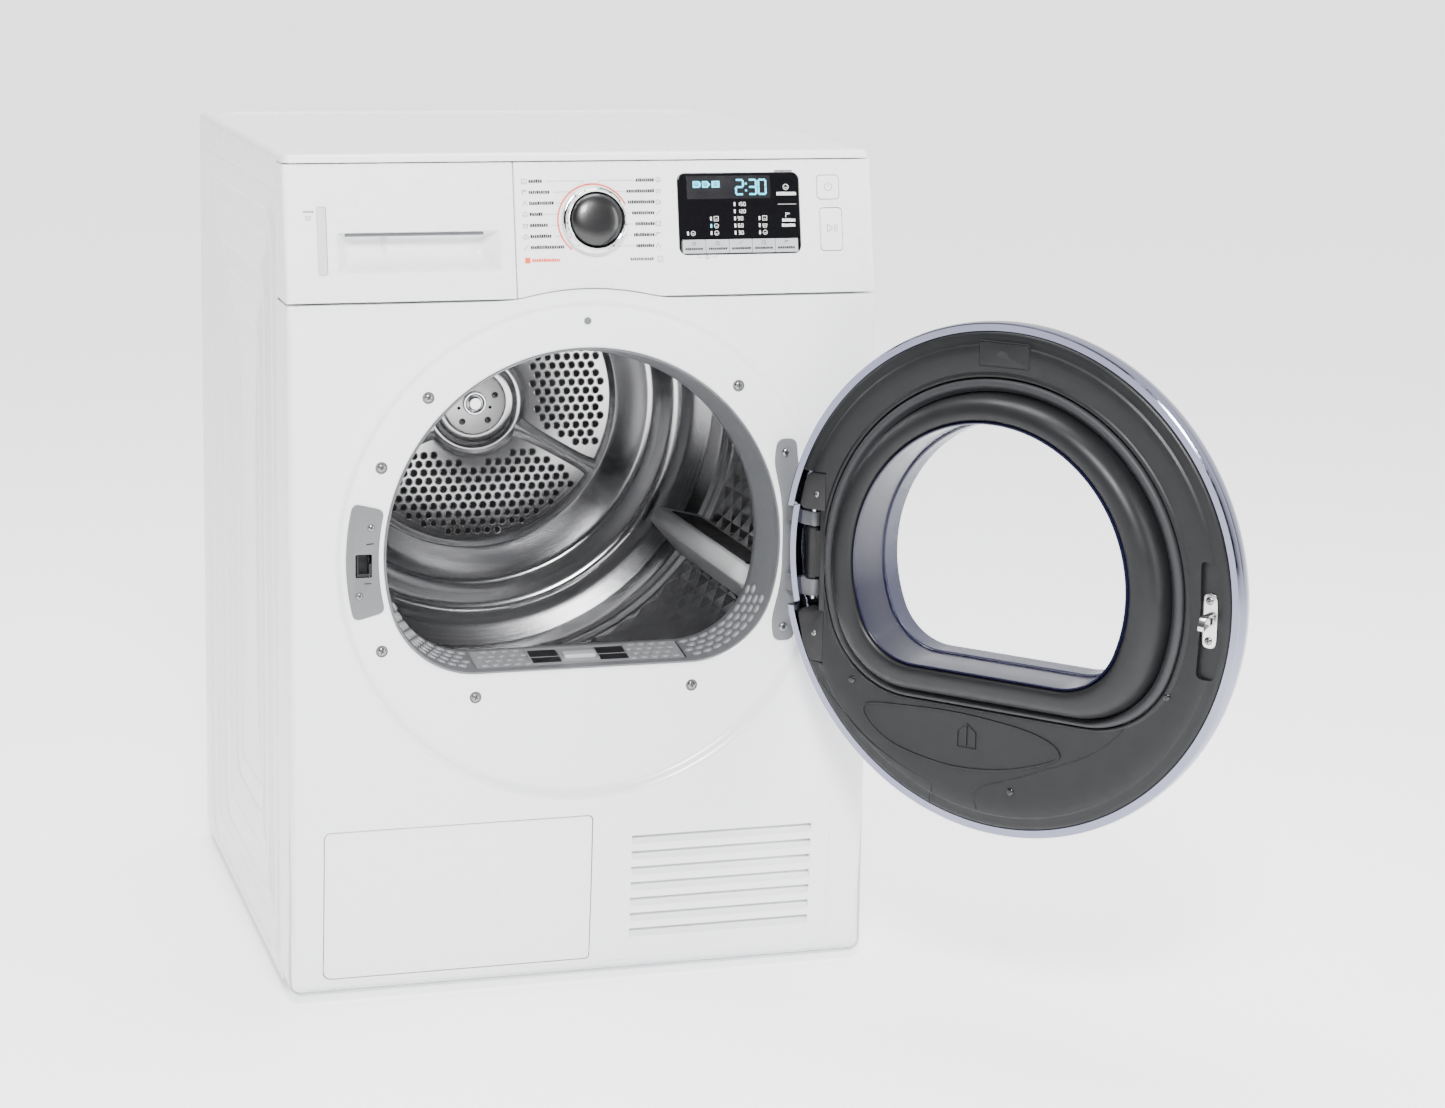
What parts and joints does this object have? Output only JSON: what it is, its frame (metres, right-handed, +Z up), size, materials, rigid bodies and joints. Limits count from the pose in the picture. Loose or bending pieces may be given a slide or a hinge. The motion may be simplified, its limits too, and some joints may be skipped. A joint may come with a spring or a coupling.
{
  "type": "clothes dryer",
  "caption": "Front-loading condenser clothes dryer with a round open door, turning drum, pull-out water tank, programme dial and lit display.",
  "frame": {"origin": "on the floor under the middle of the cabinet", "axes": "+Z up, -Y towards the front with the door, +X to the right seen from the front"},
  "size_m": [0.8345, 1.0645, 0.85],
  "materials": {
    "white_enamel": "gloss enamel",
    "white_plastic": "gloss moulded",
    "zinc_steel": "galvanised",
    "drum_steel": "polished stainless",
    "grey_plastic": "satin",
    "black_plastic": "satin",
    "black_gloss": "gloss",
    "charcoal_plastic": "satin",
    "bright_ring": "polished, blue tint",
    "chrome": "polished",
    "silver_keys": "satin silver",
    "window_pane": "clear, slightly tinted",
    "tunnel_navy": "deep blue gloss",
    "rubber_grey": "matt",
    "felt": "felt",
    "motor_metal": "painted",
    "shaft_steel": "ground",
    "fin_aluminium": "pressed fins",
    "board_green": "circuit board",
    "tank_plastic": "translucent white",
    "gauge_plastic": "frosted",
    "lever_blue": "satin"
  },
  "bodies": {
    "cabinet": {"base_pan": "black_plastic", "levelling_feet": "black_plastic", "left_side_panel": "white_enamel", "right_side_panel": "white_enamel", "rear_panel": "zinc_steel", "rear_duct_cover": "zinc_steel", "top_cover": "white_plastic", "front_panel": "white_enamel", "control_panel": "white_plastic", "display_window": "black_gloss", "control_board": "board_green", "front_bulkhead": "zinc_steel", "front_shroud": "grey_plastic", "drum_felts": "felt", "rear_bulkhead": "zinc_steel", "motor_body": "motor_metal", "blower_housing": "grey_plastic", "drive_belt": "rubber_grey", "compressor": "motor_metal", "heat_exchangers": "fin_aluminium", "condensate_pump": "grey_plastic", "exchanger_cover": "grey_plastic", "latch_plate": "grey_plastic", "hinge_plate": "grey_plastic", "front_screws": "chrome", "cord_gland": "black_plastic", "drain_spigot": "grey_plastic"},
    "door": {"door_frame": "charcoal_plastic", "door_ring": "bright_ring", "door_outer_pane": "window_pane", "window_tunnel": "tunnel_navy", "door_seal": "rubber_grey", "door_strike": "chrome", "hinge_block": "black_plastic"},
    "drum": {"drum_shell": "drum_steel", "drum_rear_wall": "drum_steel", "drum_hub": "drum_steel", "drum_lifters": "grey_plastic"},
    "motor_rotor": {"motor_shaft": "shaft_steel", "blower_wheel": "black_plastic"},
    "idler_arm": {"idler_arm": "black_plastic"},
    "idler_pulley": {"idler_pulley": "black_plastic"},
    "left_roller": {"left_roller": "rubber_grey"},
    "right_roller": {"right_roller": "rubber_grey"},
    "lint_filter": {"lint_filter": "grey_plastic"},
    "left_turn_lever": {"left_turn_lever": "lever_blue"},
    "right_turn_lever": {"right_turn_lever": "lever_blue"},
    "filter_door": {"filter_door": "white_plastic"},
    "tank_drawer": {"tank_drawer_front": "white_plastic", "water_tank": "tank_plastic", "level_window": "gauge_plastic"},
    "dial": {"dial_knob": "chrome", "dial_cap": "black_gloss"},
    "power_button": {"power_button": "white_plastic"},
    "start_button": {"start_button": "white_plastic"},
    "key_1": {"key_1": "silver_keys"},
    "key_2": {"key_2": "silver_keys"},
    "key_3": {"key_3": "silver_keys"},
    "key_4": {"key_4": "silver_keys"},
    "key_5": {"key_5": "silver_keys"}
  },
  "joints": [
    {"name": "door_hinge", "type": "hinge", "parent": "cabinet", "child": "door", "pos_m": [0.229, -0.356, 0.452], "axis": [0, 0, 1], "range_deg": [-129, 21]},
    {"name": "drum_spin", "type": "hinge", "parent": "cabinet", "child": "drum", "pos_m": [0, 0, 0.52], "axis": [0, 1, 0], "continuous": true},
    {"name": "motor_spin", "type": "hinge", "parent": "cabinet", "child": "motor_rotor", "pos_m": [0.175, 0, 0.096], "axis": [0, 1, 0], "continuous": true},
    {"name": "idler_arm_pivot", "type": "hinge", "parent": "cabinet", "child": "idler_arm", "pos_m": [0.05651, 0.114, 0.11248], "axis": [0, -1, 0], "range_deg": [0, 8], "stiffness_Nm_per_rad": 8, "springref_deg": -22.92},
    {"name": "idler_spin", "type": "hinge", "parent": "idler_arm", "child": "idler_pulley", "pos_m": [0.11651, 0.114, 0.14248], "axis": [0, 1, 0], "continuous": true},
    {"name": "left_roller_spin", "type": "hinge", "parent": "cabinet", "child": "left_roller", "pos_m": [-0.19547, -0.214, 0.26981], "axis": [0, 1, 0], "continuous": true},
    {"name": "right_roller_spin", "type": "hinge", "parent": "cabinet", "child": "right_roller", "pos_m": [0.19547, -0.214, 0.26981], "axis": [0, 1, 0], "continuous": true},
    {"name": "lint_filter_lift", "type": "slide", "parent": "cabinet", "child": "lint_filter", "axis": [0, 0, 1], "range_m": [0, 0.1]},
    {"name": "left_lever_turn", "type": "hinge", "parent": "cabinet", "child": "left_turn_lever", "pos_m": [-0.232, -0.26, 0.103], "axis": [0, 1, 0], "range_deg": [0, 90]},
    {"name": "right_lever_turn", "type": "hinge", "parent": "cabinet", "child": "right_turn_lever", "pos_m": [-0.028, -0.26, 0.103], "axis": [0, 1, 0], "range_deg": [-90, 0]},
    {"name": "filter_door_hinge", "type": "hinge", "parent": "cabinet", "child": "filter_door", "pos_m": [-0.2657, -0.327, 0.103], "axis": [0, 0, -1], "range_deg": [0, 100]},
    {"name": "tank_drawer_slide", "type": "slide", "parent": "cabinet", "child": "tank_drawer", "axis": [0, -1, 0], "range_m": [0, 0.4]},
    {"name": "dial_turn", "type": "hinge", "parent": "cabinet", "child": "dial", "pos_m": [0.0075, -0.31062, 0.78322], "axis": [0, 0.9817, -0.1903], "continuous": true},
    {"name": "power_press", "type": "slide", "parent": "cabinet", "child": "power_button", "axis": [0, 0.9817, -0.1903], "range_m": [0, 0.0015], "stiffness_N_per_m": 600, "springref_m": -0.0006},
    {"name": "start_press", "type": "slide", "parent": "cabinet", "child": "start_button", "axis": [0, 0.9817, -0.1903], "range_m": [0, 0.0015], "stiffness_N_per_m": 600, "springref_m": -0.0006},
    {"name": "key_1_press", "type": "slide", "parent": "cabinet", "child": "key_1", "axis": [0, 0.9817, -0.1903], "range_m": [0, 0.0008], "stiffness_N_per_m": 500, "springref_m": -0.0005},
    {"name": "key_2_press", "type": "slide", "parent": "cabinet", "child": "key_2", "axis": [0, 0.9817, -0.1903], "range_m": [0, 0.0008], "stiffness_N_per_m": 500, "springref_m": -0.0005},
    {"name": "key_3_press", "type": "slide", "parent": "cabinet", "child": "key_3", "axis": [0, 0.9817, -0.1903], "range_m": [0, 0.0008], "stiffness_N_per_m": 500, "springref_m": -0.0005},
    {"name": "key_4_press", "type": "slide", "parent": "cabinet", "child": "key_4", "axis": [0, 0.9817, -0.1903], "range_m": [0, 0.0008], "stiffness_N_per_m": 500, "springref_m": -0.0005},
    {"name": "key_5_press", "type": "slide", "parent": "cabinet", "child": "key_5", "axis": [0, 0.9817, -0.1903], "range_m": [0, 0.0008], "stiffness_N_per_m": 500, "springref_m": -0.0005}
  ],
  "couplings": [
    {"joint": "motor_spin", "follows": "drum_spin", "ratio": 28.62},
    {"joint": "idler_spin", "follows": "drum_spin", "ratio": 14.31},
    {"joint": "left_roller_spin", "follows": "drum_spin", "ratio": -8.9062},
    {"joint": "right_roller_spin", "follows": "drum_spin", "ratio": -8.9062}
  ]
}
